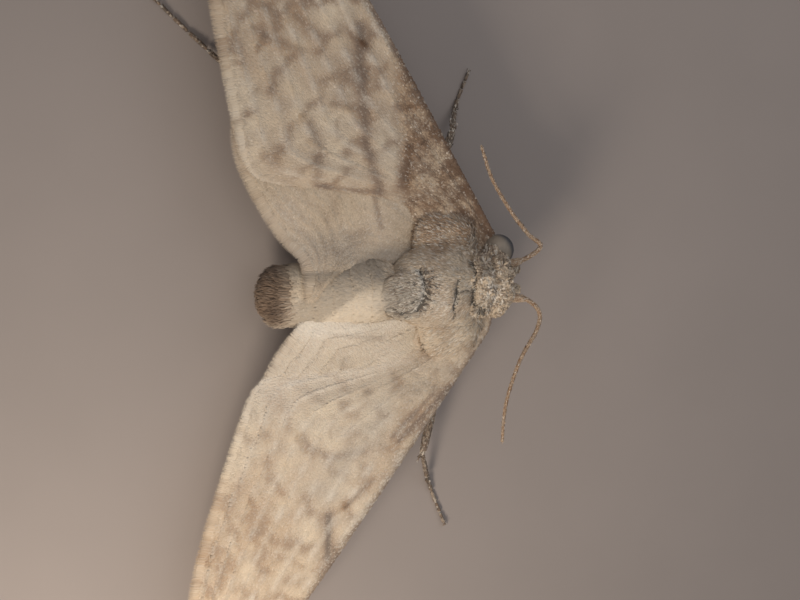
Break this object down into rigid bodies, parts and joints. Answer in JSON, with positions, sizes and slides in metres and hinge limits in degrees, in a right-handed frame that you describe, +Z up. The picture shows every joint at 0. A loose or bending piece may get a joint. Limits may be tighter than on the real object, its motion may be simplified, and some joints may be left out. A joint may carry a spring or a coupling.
{
  "type": "geometrid moth model",
  "caption": "Life-size still model of a small cream and grey geometrid moth resting with its wings spread flat.",
  "frame": {"origin": "middle of the bounding box at the level of the feet's undersides", "axes": "+X towards the head, +Y towards the moth's left, +Z up from the surface it rests on"},
  "size_m": [0.0096, 0.0204, 0.0032],
  "materials": {
    "wing_scales": "dry overlapping scales, cream and buff with grey-brown bands, matt",
    "thorax_scales": "fine flat fur of tan and cream scales, matt",
    "crest_scales": "raised grey scales with dark tips",
    "head_scales": "white and dark grey mottled scales",
    "abdomen_scales": "cream scales, a little darker at each ring",
    "tail_scales": "dark brown tuft",
    "leg_scales": "dark grey-brown scales",
    "antenna": "thin brown horn-like ringed thread",
    "eye": "dark blue-black, faceted, moderately glossy"
  },
  "bodies": {
    "root": {"thorax": "thorax_scales", "crest": "crest_scales", "collar": "head_scales", "abdomen": "abdomen_scales", "tail_tuft": "tail_scales", "head": "head_scales", "eye_left": "eye", "palp_left": "head_scales", "antenna_base_left": "antenna", "antenna_left": "antenna", "tegula_left": "thorax_scales", "forewing_left": "wing_scales", "hindwing_left": "wing_scales", "fore_femur_left": "leg_scales", "fore_tibia_left": "leg_scales", "fore_tarsus_left": "leg_scales", "mid_femur_left": "leg_scales", "mid_tibia_left": "leg_scales", "mid_tarsus_left": "leg_scales", "hind_femur_left": "leg_scales", "hind_tibia_left": "leg_scales", "hind_tarsus_left": "leg_scales", "eye_right": "eye", "palp_right": "head_scales", "antenna_base_right": "antenna", "antenna_right": "antenna", "tegula_right": "thorax_scales", "forewing_right": "wing_scales", "hindwing_right": "wing_scales", "fore_femur_right": "leg_scales", "fore_tibia_right": "leg_scales", "fore_tarsus_right": "leg_scales", "mid_femur_right": "leg_scales", "mid_tibia_right": "leg_scales", "mid_tarsus_right": "leg_scales", "hind_femur_right": "leg_scales", "hind_tibia_right": "leg_scales", "hind_tarsus_right": "leg_scales"}
  },
  "joints": []
}
